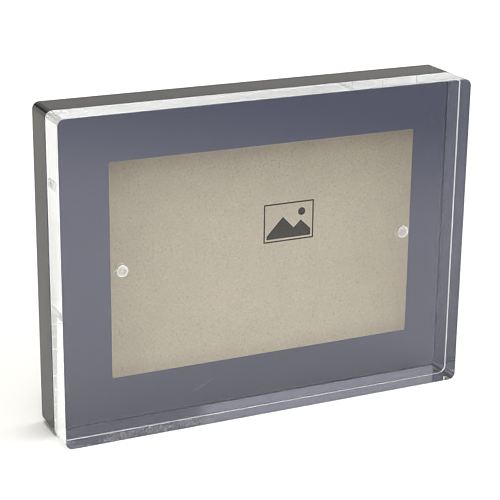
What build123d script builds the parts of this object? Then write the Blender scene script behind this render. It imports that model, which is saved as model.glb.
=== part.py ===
from build123d import *
import os

# Acrylic block frame: two thick acrylic blocks, a clear one in front and a
# smoke tinted one behind, held face to face by two pairs of magnets with a
# photo card between them.
#
# Frame: millimetres, +X to the right seen from the front, +Y to the back,
# +Z up. The origin is the middle of the footprint on the table.

# ---- driving dimensions ------------------------------------------------
width = 203.2               # both blocks, 8 in
height = 152.4              # both blocks, 6 in
front_thickness = 16.5      # clear block
back_thickness = 18.0       # smoke block
corner_radius = 3.3         # four corners seen from the front
bevel = 0.25                # scraped 45 degree bevel round every face
rear_bevel = 0.50           # the same, wider, round the rear face

card_width = 152.4          # 6 in
card_height = 101.6         # 4 in
card_thickness = 0.30       # heavy photo board
card_corner = 0.25          # die cut corner
card_shift = 0.9            # the card lies this far right of the middle
card_rise = 1.25            # and this far above mid-height
card_clearance = 0.05       # each side of the card

magnet_diameter = 5.5
magnet_length = 4.0
magnet_rim = 0.45           # rounded rim of the plated magnet
pocket_diameter = 5.7
pocket_depth = 4.2          # blind pocket from the inner face
pocket_rim = 0.30           # rounded foot of the pocket, left by the cutter
pocket_mouth = 0.10         # broken edge at the mouth of the pocket
magnet_recess = 0.05        # the magnet's end stays this far under the face
magnet_half_span = 71.6     # pockets left and right of their common middle
magnet_shift = 0.9          # that middle lies right of the block's middle
magnet_rise = 2.2           # and above mid-height

# ---- stations along Y ----------------------------------------------------
gap = card_thickness + 2 * card_clearance
depth = front_thickness + gap + back_thickness
y_front = -depth / 2                        # face that the viewer sees
y_front_inner = y_front + front_thickness   # inner face of the clear block
y_card = y_front_inner + card_clearance     # printed side of the card
y_back_inner = y_front_inner + gap          # inner face of the smoke block
y_back = y_back_inner + back_thickness      # rear face
z_mid = height / 2


def xz_plane(y):
    """A sketch plane whose x is +X, whose y is +Z and that faces the back."""
    return Plane(origin=(0, y, z_mid), x_dir=(-1, 0, 0), z_dir=(0, 1, 0))


def block(y_start, thickness, end_bevel):
    """A rounded rectangular block from y_start backwards, bevelled all round;
    end_bevel is the one at its far end."""
    face = xz_plane(y_start) * RectangleRounded(width, height, corner_radius)
    body = extrude(face, amount=thickness, dir=(0, 1, 0))
    body = chamfer(body.faces().sort_by(Axis.Y)[0].edges(), bevel)
    return chamfer(body.faces().sort_by(Axis.Y)[-1].edges(), end_bevel)


def turned(points, x, z, y_open, inward):
    """A solid of revolution about a line along Y through (x, z).

    points are (radius, distance) pairs, with distance counted from y_open
    into the block; inward is -1 for the front block and +1 for the back one.
    """
    plane = Plane(origin=(x, y_open, z), x_dir=(1, 0, 0), z_dir=(0, 0, inward))
    profile = plane * make_face(Polyline(*[(r, d) for r, d in points], close=True))
    axis = Axis((x, y_open, z), (0, inward, 0))
    return revolve(profile, axis)


def pocket(x, z, y_open, inward):
    r = pocket_diameter / 2
    cutter = turned(
        [(0, -1), (r + pocket_mouth, -1), (r + pocket_mouth, 0), (r, pocket_mouth),
         (r, pocket_depth), (0, pocket_depth)], x, z, y_open, inward)
    foot = [e for e in cutter.edges().filter_by(GeomType.CIRCLE)
            if abs((e.arc_center.Y - y_open) * inward - pocket_depth) < 1e-6]
    return fillet(foot, pocket_rim)


def magnet(x, z, y_open, inward):
    r = magnet_diameter / 2
    near, far = magnet_recess, magnet_recess + magnet_length
    rod = turned([(0, near), (r, near), (r, far), (0, far)], x, z, y_open, inward)
    return fillet(rod.edges().filter_by(GeomType.CIRCLE), magnet_rim)


# ---- pieces ----------------------------------------------------------------
x_left = magnet_shift - magnet_half_span
x_right = magnet_shift + magnet_half_span
z_magnet = z_mid + magnet_rise

front_block = block(y_front, front_thickness, bevel)
back_block = block(y_back_inner, back_thickness, rear_bevel)
for x in (x_left, x_right):
    front_block -= pocket(x, z_magnet, y_front_inner, -1)
    back_block -= pocket(x, z_magnet, y_back_inner, +1)

card_face = (Plane(origin=(card_shift, y_card, z_mid + card_rise),
                   x_dir=(-1, 0, 0), z_dir=(0, 1, 0))
             * RectangleRounded(card_width, card_height, card_corner))
insert_card = extrude(card_face, amount=card_thickness, dir=(0, 1, 0))

nodes = {
    "front_block": front_block,
    "back_block": back_block,
    "insert_card": insert_card,
    "front_magnet_left": magnet(x_left, z_magnet, y_front_inner, -1),
    "front_magnet_right": magnet(x_right, z_magnet, y_front_inner, -1),
    "back_magnet_left": magnet(x_left, z_magnet, y_back_inner, +1),
    "back_magnet_right": magnet(x_right, z_magnet, y_back_inner, +1),
}

os.makedirs("parts", exist_ok=True)
for name, shape in nodes.items():
    solids = shape.solids()
    piece = solids[0] if len(solids) == 1 else Compound(children=list(solids))
    export_step(piece, f"parts/{name}.step")
    box = piece.bounding_box()
    print(f"{name}: {len(solids)} solid, {piece.volume:.1f} mm3, "
          f"min ({box.min.X:.2f}, {box.min.Y:.2f}, {box.min.Z:.2f}), "
          f"max ({box.max.X:.2f}, {box.max.Y:.2f}, {box.max.Z:.2f})")
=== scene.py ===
import math
import bpy
from mathutils import Euler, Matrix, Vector

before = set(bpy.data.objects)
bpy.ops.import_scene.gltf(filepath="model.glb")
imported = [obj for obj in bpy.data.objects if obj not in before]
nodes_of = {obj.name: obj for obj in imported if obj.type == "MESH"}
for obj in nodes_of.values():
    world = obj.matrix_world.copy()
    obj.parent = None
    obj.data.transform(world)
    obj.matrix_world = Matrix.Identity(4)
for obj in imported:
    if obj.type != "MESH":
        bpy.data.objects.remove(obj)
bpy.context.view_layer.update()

scene = bpy.context.scene

# Stations of the frame, in metres
HALF_WIDTH, HALF_HEIGHT, CORNER = 0.1016, 0.0762, 0.0033
CARD_X, CARD_Z = 0.0009, 0.07745        # middle of the card
CARD_HALF_W, CARD_HALF_H = 0.0762, 0.0508
CARD_FRONT = -0.0009                    # printed side
MAGNET_Z = 0.0784
MAGNET_X = (-0.0707, 0.0725)


# ---------------------------------------------------------------- helpers
class Graph:
    """Adds nodes to a node tree; inputs may be numbers or sockets."""

    def __init__(self, name):
        self.mat = bpy.data.materials.new(name)
        self.mat.use_nodes = True
        self.tree = self.mat.node_tree
        self.tree.nodes.clear()
        self.out = self.tree.nodes.new("ShaderNodeOutputMaterial")

    def add(self, kind, **settings):
        node = self.tree.nodes.new(kind)
        for key, value in settings.items():
            setattr(node, key, value)
        return node

    def put(self, value, socket):
        if isinstance(value, bpy.types.NodeSocket):
            self.tree.links.new(value, socket)
        else:
            socket.default_value = value

    def link(self, a, b):
        self.tree.links.new(a, b)

    def math(self, op, a, b=0.0, c=0.0, clamp=False):
        node = self.add("ShaderNodeMath", operation=op, use_clamp=clamp)
        self.put(a, node.inputs[0])
        self.put(b, node.inputs[1])
        self.put(c, node.inputs[2])
        return node.outputs[0]

    def axes(self):
        coord = self.add("ShaderNodeTexCoord")
        split = self.add("ShaderNodeSeparateXYZ")
        self.link(coord.outputs["Object"], split.inputs[0])
        return coord.outputs["Object"], split.outputs[0], split.outputs[1], split.outputs[2]

    def mapped(self, vector, rotation=(0, 0, 0), scale=(1, 1, 1), location=(0, 0, 0)):
        node = self.add("ShaderNodeMapping")
        self.link(vector, node.inputs["Vector"])
        node.inputs["Rotation"].default_value = rotation
        node.inputs["Scale"].default_value = scale
        node.inputs["Location"].default_value = location
        return node.outputs[0]

    def noise(self, vector, scale, detail=2.0, roughness=0.5, distortion=0.0):
        node = self.add("ShaderNodeTexNoise")
        self.link(vector, node.inputs["Vector"])
        node.inputs["Scale"].default_value = scale
        node.inputs["Detail"].default_value = detail
        node.inputs["Roughness"].default_value = roughness
        node.inputs["Distortion"].default_value = distortion
        return node.outputs[0]

    def ramp(self, value, lo, hi, out_lo=0.0, out_hi=1.0, smooth=True):
        node = self.add("ShaderNodeMapRange",
                        interpolation_type="SMOOTHSTEP" if smooth else "LINEAR")
        self.put(value, node.inputs["Value"])
        node.inputs["From Min"].default_value = lo
        node.inputs["From Max"].default_value = hi
        node.inputs["To Min"].default_value = out_lo
        node.inputs["To Max"].default_value = out_hi
        return node.outputs[0]

    def mix(self, fac, a, b):
        node = self.add("ShaderNodeMix", data_type="RGBA")
        self.put(fac, node.inputs[0])
        self.put(a, node.inputs[6])
        self.put(b, node.inputs[7])
        return node.outputs[2]

    def tint(self, color, level):
        """A colour times a grey level."""
        node = self.add("ShaderNodeMix", data_type="RGBA", blend_type="MULTIPLY")
        node.inputs[0].default_value = 1.0
        self.put(color, node.inputs[6])
        grey = self.add("ShaderNodeCombineColor")
        for k in range(3):
            self.put(level, grey.inputs[k])
        self.link(grey.outputs[0], node.inputs[7])
        return node.outputs[2]

    def bump(self, height, distance, strength=1.0):
        node = self.add("ShaderNodeBump")
        node.inputs["Strength"].default_value = strength
        node.inputs["Distance"].default_value = distance
        self.link(height, node.inputs["Height"])
        return node.outputs[0]

    def stroke(self, x, z, start, end, width):
        """1 on a straight hairline from start to end in the x-z plane, else 0."""
        (ax, az), (bx, bz) = start, end
        dx, dz = bx - ax, bz - az
        long2 = dx * dx + dz * dz
        px = self.math("SUBTRACT", x, ax)
        pz = self.math("SUBTRACT", z, az)
        along = self.math("ADD", self.math("MULTIPLY", px, dx / long2),
                          self.math("MULTIPLY", pz, dz / long2), clamp=True)
        ex = self.math("SUBTRACT", px, self.math("MULTIPLY", along, dx))
        ez = self.math("SUBTRACT", pz, self.math("MULTIPLY", along, dz))
        far = self.math("SQRT", self.math("ADD", self.math("MULTIPLY", ex, ex),
                                          self.math("MULTIPLY", ez, ez)))
        return self.ramp(far, width * 0.5, width, 1.0, 0.0)


def give(node_name, material):
    data = nodes_of[node_name].data
    data.materials.clear()
    data.materials.append(material)
    for poly in data.polygons:
        poly.material_index = 0


# ---------------------------------------------------------------- acrylic
def acrylic(name, skin, sides, absorb, density, hairlines, face_y, face_sign, scuff):
    """Polished cast acrylic: clear body, faint hairlines on the outer face and
    scuff marks on the faces that slide on a table."""
    g = Graph(name)
    place, x, y, z = g.axes()
    bsdf = g.add("ShaderNodeBsdfPrincipled")
    bsdf.inputs["Transmission Weight"].default_value = 1.0
    bsdf.inputs["IOR"].default_value = 1.49

    # hairline scratches on the outer face
    outer = g.ramp(g.math("MULTIPLY", g.math("SUBTRACT", y, face_y), face_sign),
                   -0.0003, -0.0001)
    marks = None
    for start, end, width, depth in hairlines:
        one = g.math("MULTIPLY", g.stroke(x, z, start, end, width), depth)
        marks = one if marks is None else g.math("MAXIMUM", marks, one)
    marks = g.math("MULTIPLY", marks, outer)

    # scuff marks underneath: thin streaks in three directions, in patches
    under = g.ramp(z, 0.0001, 0.0004, 1.0, 0.0)
    streaks = None
    for angle, across in ((0.78, 2300.0), (0.98, 2900.0), (1.32, 2600.0)):
        turned_place = g.mapped(place, (0, 0, -angle))
        lines = g.noise(g.mapped(turned_place, (0, 0, 0), (130.0, across, 1.0)), 1.0, 2.0)
        one = g.ramp(lines, 0.55, 0.63)
        streaks = one if streaks is None else g.math("MAXIMUM", streaks, one)
    patches = g.ramp(g.noise(place, 60.0, 2.0), 0.30, 0.55, 0.25, 1.0)
    left = g.ramp(x, -0.045, 0.015, 1.0, 0.25)
    worn = g.math("MULTIPLY", g.math("MULTIPLY", streaks, patches),
                  g.math("MULTIPLY", under, left))
    worn = g.math("MULTIPLY", worn, scuff)

    # the drilled pockets keep the cutter's satin finish
    side = g.math("GREATER_THAN", x, 0.0)
    mid = g.math("ADD", g.math("MULTIPLY", side, MAGNET_X[1] - MAGNET_X[0]), MAGNET_X[0])
    dx = g.math("SUBTRACT", x, mid)
    dz = g.math("SUBTRACT", z, MAGNET_Z)
    r = g.math("SQRT", g.math("ADD", g.math("MULTIPLY", dx, dx), g.math("MULTIPLY", dz, dz)))
    drilled = g.math("MULTIPLY", g.ramp(r, 0.00300, 0.00307, 1.0, 0.0),
                     g.ramp(g.math("ABSOLUTE", y), 0.0058, 0.0062, 1.0, 0.0))
    turned = g.noise(g.mapped(place, (0, 0, 0), (300.0, 5200.0, 300.0)), 1.0, 2.0)
    ground = g.ramp(turned, 0.30, 0.70, 0.24, 0.44)
    wall = g.ramp(r, 0.00278, 0.00284, 1.0, 0.35)
    satin = g.math("MULTIPLY", drilled, g.math("MULTIPLY", ground, wall))

    # the bevels are scraped and stay a little matt
    coord = g.add("ShaderNodeTexCoord")
    lean = g.add("ShaderNodeSeparateXYZ")
    g.link(coord.outputs["Normal"], lean.inputs[0])
    slope = g.math("ABSOLUTE", lean.outputs[1])
    # the sides get a slightly darker, bluer base colour than the front and back faces
    g.link(g.mix(g.ramp(slope, 0.30, 0.60), (*sides, 1), (skin, skin, skin, 1)), bsdf.inputs["Base Color"])
    scraped = g.math("MULTIPLY", g.ramp(slope, 0.50, 0.60), g.ramp(slope, 0.80, 0.90, 1.0, 0.0))
    chatter = g.noise(place, 1400.0, 2.0)
    scraped = g.math("MULTIPLY", scraped, g.ramp(chatter, 0.3, 0.7, 0.38, 0.58))
    behind = g.math("MULTIPLY", g.ramp(y, -0.0100, -0.0090), g.math("SUBTRACT", 1.0, drilled))
    scraped = g.math("MULTIPLY", scraped, behind)
    ax = g.math("SUBTRACT", g.math("ABSOLUTE", x), HALF_WIDTH - CORNER)
    up = g.math("SUBTRACT", z, HALF_HEIGHT)
    az = g.math("SUBTRACT", g.math("ABSOLUTE", up), HALF_HEIGHT - CORNER)
    round_part = g.math("GREATER_THAN", g.math("MINIMUM", ax, az), 0.0)
    scraped = g.math("MULTIPLY", scraped, g.math("SUBTRACT", 1.0, g.math("MULTIPLY", round_part, 0.85)))

    rough = g.math("ADD", g.math("MULTIPLY", marks, 0.45), g.math("MULTIPLY", worn, 0.42), clamp=True)
    rough = g.math("MAXIMUM", g.math("MAXIMUM", rough, satin), scraped)
    g.link(rough, bsdf.inputs["Roughness"])
    g.link(bsdf.outputs["BSDF"], g.out.inputs["Surface"])
    vol = g.add("ShaderNodeVolumeAbsorption")
    vol.inputs["Color"].default_value = (*absorb, 1)
    vol.inputs["Density"].default_value = density
    g.link(vol.outputs["Volume"], g.out.inputs["Volume"])
    return g.mat


clear = acrylic(
    "cast_acrylic_clear", 0.93, (0.870, 0.884, 0.900), (0.53, 0.57, 0.555), 0.20,
    [((-0.0386, 0.0186), (-0.0316, 0.0221), 0.00010, 0.7),
     ((0.0808, 0.1346), (0.0829, 0.1358), 0.00018, 0.9),
     ((0.0120, 0.0096), (0.0174, 0.0118), 0.00010, 0.5),
     ((-0.0890, 0.1210), (-0.0868, 0.1262), 0.00010, 0.5)],
    -0.01745, -1.0, 1.0)
smoke = acrylic(
    "cast_acrylic_smoke", 1.0, (1.0, 1.0, 1.0), (0.173, 0.197, 0.358), 144.0,
    [((-0.0620, 0.1190), (-0.0515, 0.1265), 0.00014, 0.6),
     ((0.0410, 0.0330), (0.0492, 0.0296), 0.00014, 0.6)],
    0.01745, 1.0, 0.25)


# ---------------------------------------------------------------- card
def card_paper():
    """Speckled beige board, a little darker to its edges, with a plain
    picture sign in dark ink on the front and a bare grey-white back."""
    g = Graph("card_paper")
    place, x, y, z = g.axes()
    u = g.math("DIVIDE", g.math("SUBTRACT", x, CARD_X), CARD_HALF_W)
    v = g.math("DIVIDE", g.math("SUBTRACT", z, CARD_Z), CARD_HALF_H)

    # fibres, specks and a slow mottle
    grain = g.noise(place, 1900.0, 3.0, 0.65)
    specks = g.noise(place, 900.0, 1.0)
    mottle = g.noise(place, 70.0, 3.0)
    paper = g.mix(g.ramp(grain, 0.30, 0.70), (0.525, 0.478, 0.396, 1), (0.600, 0.556, 0.474, 1))
    paper = g.mix(g.ramp(specks, 0.62, 0.72, 0.0, 0.55), paper, (0.40, 0.345, 0.265, 1))
    paper = g.mix(g.ramp(specks, 0.30, 0.38, 0.35, 0.0), paper, (0.70, 0.67, 0.60, 1))
    level = g.ramp(mottle, 0.25, 0.75, 0.98, 1.04)

    # the paper is made darker and warmer towards the edges, most at the top
    vv = g.math("DIVIDE", g.math("ADD", v, 0.25), 1.2)
    r4 = g.math("ADD", g.math("MULTIPLY", g.math("POWER", g.math("ABSOLUTE", u), 4.0), 0.70),
                g.math("POWER", g.math("ABSOLUTE", vv), 4.0))
    r3 = g.math("POWER", r4, 0.75)
    edge = g.ramp(g.math("ABSOLUTE", v), 0.80, 1.02, 0.0, 0.09)
    tone = g.math("SUBTRACT", g.math("SUBTRACT", 1.0, g.math("MULTIPLY", r3, 0.26)), edge)
    paper = g.tint(paper, g.math("MULTIPLY", tone, level))
    warm = g.mix(g.math("MULTIPLY", r3, 0.55, clamp=True), (1, 1, 1, 1), (1.0, 0.965, 0.91, 1))
    blend = g.add("ShaderNodeMix", data_type="RGBA", blend_type="MULTIPLY")
    blend.inputs[0].default_value = 1.0
    g.link(paper, blend.inputs[6])
    g.link(warm, blend.inputs[7])
    paper = blend.outputs[2]

    # picture sign: an outlined landscape with a sun
    sx = g.math("SUBTRACT", x, 0.0125)
    sz = g.math("SUBTRACT", z, 0.0905)
    box = g.math("MAXIMUM", g.math("SUBTRACT", g.math("ABSOLUTE", sx), 0.0125),
                 g.math("SUBTRACT", g.math("ABSOLUTE", sz), 0.0090))
    line = g.ramp(g.math("ABSOLUTE", box), 0.00028, 0.00042, 1.0, 0.0)
    inside = g.ramp(box, -0.0013, -0.0011, 1.0, 0.0)
    peak1 = g.math("SUBTRACT", g.math("SUBTRACT", 0.0026, g.math("MULTIPLY", g.math("ABSOLUTE", g.math("SUBTRACT", sx, -0.0030)), 1.05)), sz)
    peak2 = g.math("SUBTRACT", g.math("SUBTRACT", 0.0002, g.math("MULTIPLY", g.math("ABSOLUTE", g.math("SUBTRACT", sx, 0.0062)), 0.95)), sz)
    hills = g.ramp(g.math("MAXIMUM", peak1, peak2), -0.00006, 0.00006)
    cx = g.math("SUBTRACT", sx, 0.0066)
    cz = g.math("SUBTRACT", sz, 0.0042)
    sun_r = g.math("SQRT", g.math("ADD", g.math("MULTIPLY", cx, cx), g.math("MULTIPLY", cz, cz)))
    sun = g.ramp(sun_r, 0.00180, 0.00192, 1.0, 0.0)
    sign = g.math("MAXIMUM", line, g.math("MULTIPLY", inside, g.math("MAXIMUM", hills, sun)))
    worn_ink = g.ramp(grain, 0.20, 0.45, 0.86, 1.0)
    front = g.ramp(y, CARD_FRONT + 0.00004, CARD_FRONT + 0.00008, 1.0, 0.0)
    ink = g.math("MULTIPLY", g.math("MULTIPLY", sign, worn_ink), front)
    printed = g.mix(ink, paper, (0.026, 0.023, 0.020, 1))

    # bare board on the back and the cut edge
    board = g.mix(g.ramp(grain, 0.30, 0.70), (0.62, 0.60, 0.55, 1), (0.70, 0.68, 0.63, 1))
    color = g.mix(front, board, printed)

    bsdf = g.add("ShaderNodeBsdfPrincipled")
    g.link(color, bsdf.inputs["Base Color"])
    g.link(g.ramp(grain, 0.2, 0.8, 0.72, 0.88), bsdf.inputs["Roughness"])
    bsdf.inputs["Specular IOR Level"].default_value = 0.35
    g.link(g.bump(grain, 0.00004, 0.5), bsdf.inputs["Normal"])
    g.link(bsdf.outputs["BSDF"], g.out.inputs["Surface"])
    return g.mat


# ---------------------------------------------------------------- magnets
def nickel():
    """Bright nickel plating: faint turning rings on the ends, fine orange peel."""
    g = Graph("nickel_plate")
    place, x, y, z = g.axes()
    dz = g.math("SUBTRACT", z, MAGNET_Z)
    side = g.math("GREATER_THAN", x, 0.0)
    mid = g.math("ADD", g.math("MULTIPLY", side, MAGNET_X[1] - MAGNET_X[0]), MAGNET_X[0])
    dx = g.math("SUBTRACT", x, mid)
    r = g.math("SQRT", g.math("ADD", g.math("MULTIPLY", dx, dx), g.math("MULTIPLY", dz, dz)))
    rings = g.math("SINE", g.math("MULTIPLY", r, 42000.0))
    peel = g.noise(place, 2600.0, 3.0, 0.6)
    smear = g.noise(place, 520.0, 3.0, 0.6)
    color = g.mix(g.ramp(smear, 0.35, 0.70), (0.66, 0.65, 0.635, 1), (0.525, 0.515, 0.495, 1))
    rim = g.ramp(r, 0.00185, 0.00210)
    color = g.mix(rim, color, (0.88, 0.87, 0.85, 1))
    bsdf = g.add("ShaderNodeBsdfPrincipled")
    bsdf.inputs["Metallic"].default_value = 1.0
    g.link(color, bsdf.inputs["Base Color"])
    gloss = g.ramp(smear, 0.25, 0.75, 0.14, 0.30)
    g.link(g.math("ADD", gloss, g.math("MULTIPLY", rim, 0.22)), bsdf.inputs["Roughness"])
    height = g.math("ADD", g.math("MULTIPLY", rings, 0.12), peel)
    g.link(g.bump(height, 0.000012, 0.6), bsdf.inputs["Normal"])
    g.link(bsdf.outputs["BSDF"], g.out.inputs["Surface"])
    return g.mat


give("front_block", clear)
give("back_block", smoke)
give("insert_card", card_paper())
metal = nickel()
for side in ("left", "right"):
    give("front_magnet_" + side, metal)
    give("back_magnet_" + side, metal)


# ---------------------------------------------------------------- stage
WHITE = (1.0, 0.985, 0.95)


def floor():
    mesh = bpy.data.meshes.new("floor")
    s = 4.0
    z = -0.0002
    mesh.from_pydata([(-s, -s, z), (s, -s, z), (s, s, z), (-s, s, z)], [], [(0, 1, 2, 3)])
    obj = bpy.data.objects.new("floor", mesh)
    scene.collection.objects.link(obj)
    g = Graph("floor_paper")
    bsdf = g.add("ShaderNodeBsdfPrincipled")
    # pale paper with painted shade: its colour darkens far out to the front and right, standing in for the lamps'
    # light falling off there
    place, px, py, pz = g.axes()
    out = g.math("SUBTRACT", g.math("MULTIPLY", px, 0.80), py)
    fibre = g.noise(place, 420.0, 3.0)
    tone = g.math("ADD", g.ramp(out, 0.38, 0.80, 0.86, 0.30),
                  g.ramp(fibre, 0.2, 0.8, -0.006, 0.006))
    g.link(g.tint((1.0, 1.0, 1.0, 1.0), tone), bsdf.inputs["Base Color"])
    bsdf.inputs["Roughness"].default_value = 0.9
    bsdf.inputs["Specular IOR Level"].default_value = 0.1
    g.link(bsdf.outputs["BSDF"], g.out.inputs["Surface"])
    mesh.materials.append(g.mat)
    return obj


floor()


def studio_world():
    """Soft white surroundings, a light tent: one level per side and height."""
    world = bpy.data.worlds.new("studio")
    scene.world = world
    world.use_nodes = True
    tree = world.node_tree
    bg = tree.nodes["Background"]
    coord = tree.nodes.new("ShaderNodeTexCoord")
    axes = tree.nodes.new("ShaderNodeSeparateXYZ")
    tree.links.new(coord.outputs["Generated"], axes.inputs["Vector"])

    def calc(op, a, b, c=0.0):
        node = tree.nodes.new("ShaderNodeMath")
        node.operation = op
        for value, socket in zip((a, b, c), node.inputs):
            if isinstance(value, bpy.types.NodeSocket):
                tree.links.new(value, socket)
            else:
                socket.default_value = value
        return node.outputs[0]

    def by_height(bands):
        """Bands of (upper elevation in degrees, level, tint), from the floor up."""
        ramp = tree.nodes.new("ShaderNodeValToRGB")
        ramp.color_ramp.interpolation = "LINEAR"
        stops, low = [], 0.0
        for high, level, *tint in bands:
            soft = 0.18 * (high - low)
            shade = [level / 4 * c for c in (tint[0] if tint else (1, 1, 1))]
            stops += [(low + soft, shade), (high - soft, shade)]
            low = high
        while len(ramp.color_ramp.elements) < len(stops):
            ramp.color_ramp.elements.new(0.5)
        for element, (elevation, shade) in zip(ramp.color_ramp.elements, stops):
            element.position = math.sin(math.radians(elevation))
            element.color = (*shade, 1)
        tree.links.new(axes.outputs["Z"], ramp.inputs["Fac"])
        return ramp.outputs["Color"]

    # azimuth round the frame: 0 behind, 90 right, 180 front; turned so that it
    # wraps in the middle of the left side
    turn = math.radians(72.5)
    across = calc("SUBTRACT", calc("MULTIPLY", axes.outputs["X"], math.cos(turn)),
                  calc("MULTIPLY", axes.outputs["Y"], math.sin(turn)))
    along = calc("ADD", calc("MULTIPLY", axes.outputs["X"], math.sin(turn)),
                 calc("MULTIPLY", axes.outputs["Y"], math.cos(turn)))
    azimuth = calc("ADD", calc("MULTIPLY", calc("ARCTAN2", across, along), 180 / math.pi), 72.5)

    def mix(fac, a, b):
        node = tree.nodes.new("ShaderNodeMix")
        node.data_type = "RGBA"
        tree.links.new(fac, node.inputs[0])
        tree.links.new(a, node.inputs[6])
        tree.links.new(b, node.inputs[7])
        return node.outputs[2]

    def past(edge, soft):
        node = tree.nodes.new("ShaderNodeMapRange")
        node.interpolation_type = "SMOOTHSTEP"
        node.inputs["From Min"].default_value = edge - soft
        node.inputs["From Max"].default_value = edge + soft
        tree.links.new(azimuth, node.inputs["Value"])
        return node.outputs["Result"]

    # the edge behind the frame is soft near the floor and sharp above
    upper = tree.nodes.new("ShaderNodeMapRange")
    upper.inputs["From Min"].default_value = math.sin(math.radians(19.6))
    upper.inputs["From Max"].default_value = math.sin(math.radians(20.4))
    tree.links.new(axes.outputs["Z"], upper.inputs["Value"])
    low_edge, high_edge = past(24.5, 6.0), past(23.45, 0.35)
    back_edge = calc("ADD", low_edge,
                     calc("MULTIPLY", upper.outputs["Result"], calc("SUBTRACT", high_edge, low_edge)))

    left = by_height(TENT["left"])
    whole = left
    for name, fac in (("back_left", past(-65, 6)), ("back", past(-30, 2.5)), ("back_mid", past(5, 2)), ("back_right", back_edge),
                      ("right", past(65, 5)), ("front_right", past(125, 5)), ("front", past(148, 3)),
                      ("front_left", past(172, 4))):
        whole = mix(fac, whole, by_height(TENT[name]))
    whole = mix(past(210, 6), whole, left)
    gain = tree.nodes.new("ShaderNodeMix")
    gain.data_type = "RGBA"
    gain.blend_type = "MULTIPLY"
    gain.inputs[0].default_value = 1.0
    tree.links.new(whole, gain.inputs[6])
    gain.inputs[7].default_value = (*WHITE, 1)
    tree.links.new(gain.outputs[2], bg.inputs["Color"])
    bg.inputs["Strength"].default_value = 4.0


# light of the tent by side: (up to this elevation, level)
TAN = (1.0, 0.975, 0.84)
TENT = {
    "left": [(10, 0.83), (20, 0.99), (35, 0.55), (58, 1.03), (75, 0.65), (90, 3.3)],
    "back_left": [(6, 0.25), (10, 0.70), (13, 1.30), (20, 2.20), (23.5, 1.30), (27, 0.90), (30, 0.45), (40, 0.20),
                  (58, 1.04), (75, 0.55), (90, 3.3)],
    "back": [(9.5, 1.16), (12.5, 1.00), (14.3, 0.62), (16.5, 0.36), (19.3, 0.20), (20.7, 0.42), (21.6, 0.58),
             (26, 0.74), (29.5, 0.55), (41, 0.20), (58, 0.80), (75, 0.55), (90, 3.3)],
    "back_mid": [(6, 0.62), (12, 0.91), (17, 0.74), (20, 0.72), (23, 0.66), (28, 0.73), (34, 1.20), (40, 1.40),
                 (58, 0.80), (75, 0.55), (90, 3.3)],
    "back_right": [(6, 0.39), (12, 0.77), (17, 0.74), (20, 1.06), (23, 1.99, TAN), (28, 2.26, TAN), (40, 1.45, TAN),
                   (58, 0.95), (75, 0.55), (90, 3.3)],
    "right": [(10, 1.55), (20, 1.67), (35, 1.93), (58, 2.44), (75, 0.65), (90, 3.3)],
    "front_right": [(8, 1.32), (14, 1.28), (20, 1.20), (27, 1.59), (35, 1.48), (58, 1.20), (75, 0.79), (90, 3.3)],
    "front": [(8, 1.15), (14, 1.25), (20, 0.50), (27, 1.40), (35, 1.22), (58, 1.35), (75, 0.79), (90, 3.3)],
    "front_left": [(8, 1.10), (14, 1.15), (20, 0.32), (27, 0.95), (35, 0.85), (58, 0.80), (75, 0.79), (90, 3.3)],
}
studio_world()


def softbox(name, loc, target, size, size_y, radiance, spread=180.0, color=WHITE):
    light = bpy.data.lights.new(name, "AREA")
    light.shape = "RECTANGLE"
    light.size, light.size_y = size, size_y
    light.energy = math.pi * size * size_y * radiance
    light.spread = math.radians(spread)
    light.color = color
    obj = bpy.data.objects.new(name, light)
    scene.collection.objects.link(obj)
    obj.location = loc
    obj.rotation_euler = (Vector(target) - Vector(loc)).to_track_quat("-Z", "Y").to_euler()
    obj.visible_camera = False
    return obj


softbox("top_back", (0.1, 0.75, 1.1), (0.1, 0.70, 0), 1.3, 0.9, 0.20, 100)
softbox("top_front", (0, -0.25, 0.9), (0, -0.2, 0), 0.6, 0.4, 0.26, 60)
softbox("pool", (-0.05, -0.17, 0.9), (-0.05, -0.17, 0), 0.25, 0.25, 0.50, 40)

# ---------------------------------------------------------------- camera
cam_data = bpy.data.cameras.new("camera")
cam = bpy.data.objects.new("camera", cam_data)
scene.collection.objects.link(cam)
cam.location = (-0.308409, -0.646679, 0.321198)
cam.rotation_euler = Euler((1.240814, -0.011332, -0.436435), "XYZ")
cam_data.sensor_width = 36.0
cam_data.lens = 116.757
cam_data.clip_start = 0.01
cam_data.clip_end = 50.0
scene.camera = cam

scene.view_settings.view_transform = "Standard"
scene.view_settings.look = "None"
scene.view_settings.exposure = 0.0
scene.view_settings.gamma = 0.87
scene.cycles.max_bounces = 256
scene.cycles.glossy_bounces = 256
scene.cycles.transmission_bounces = 256
scene.cycles.diffuse_bounces = 6
scene.cycles.transparent_max_bounces = 16
scene.cycles.blur_glossy = 0.0


def finishing():
    """The touch of sharpening that a camera gives its pictures."""
    scene.use_nodes = True
    tree = scene.node_tree
    tree.nodes.clear()
    layers = tree.nodes.new("CompositorNodeRLayers")
    clip = tree.nodes.new("CompositorNodeMixRGB")
    clip.use_clamp = True
    clip.inputs[0].default_value = 0.0
    up = tree.nodes.new("CompositorNodeGamma")
    up.inputs[1].default_value = 1 / 2.0
    sharpen = tree.nodes.new("CompositorNodeFilter")
    sharpen.filter_type = "SHARPEN_DIAMOND"
    sharpen.inputs["Fac"].default_value = 0.16
    down = tree.nodes.new("CompositorNodeGamma")
    down.inputs[1].default_value = 2.0
    out = tree.nodes.new("CompositorNodeComposite")
    tree.links.new(layers.outputs["Image"], clip.inputs[1])
    tree.links.new(clip.outputs[0], up.inputs[0])
    tree.links.new(up.outputs[0], sharpen.inputs["Image"])
    tree.links.new(sharpen.outputs[0], down.inputs[0])
    tree.links.new(down.outputs[0], out.inputs[0])


finishing()
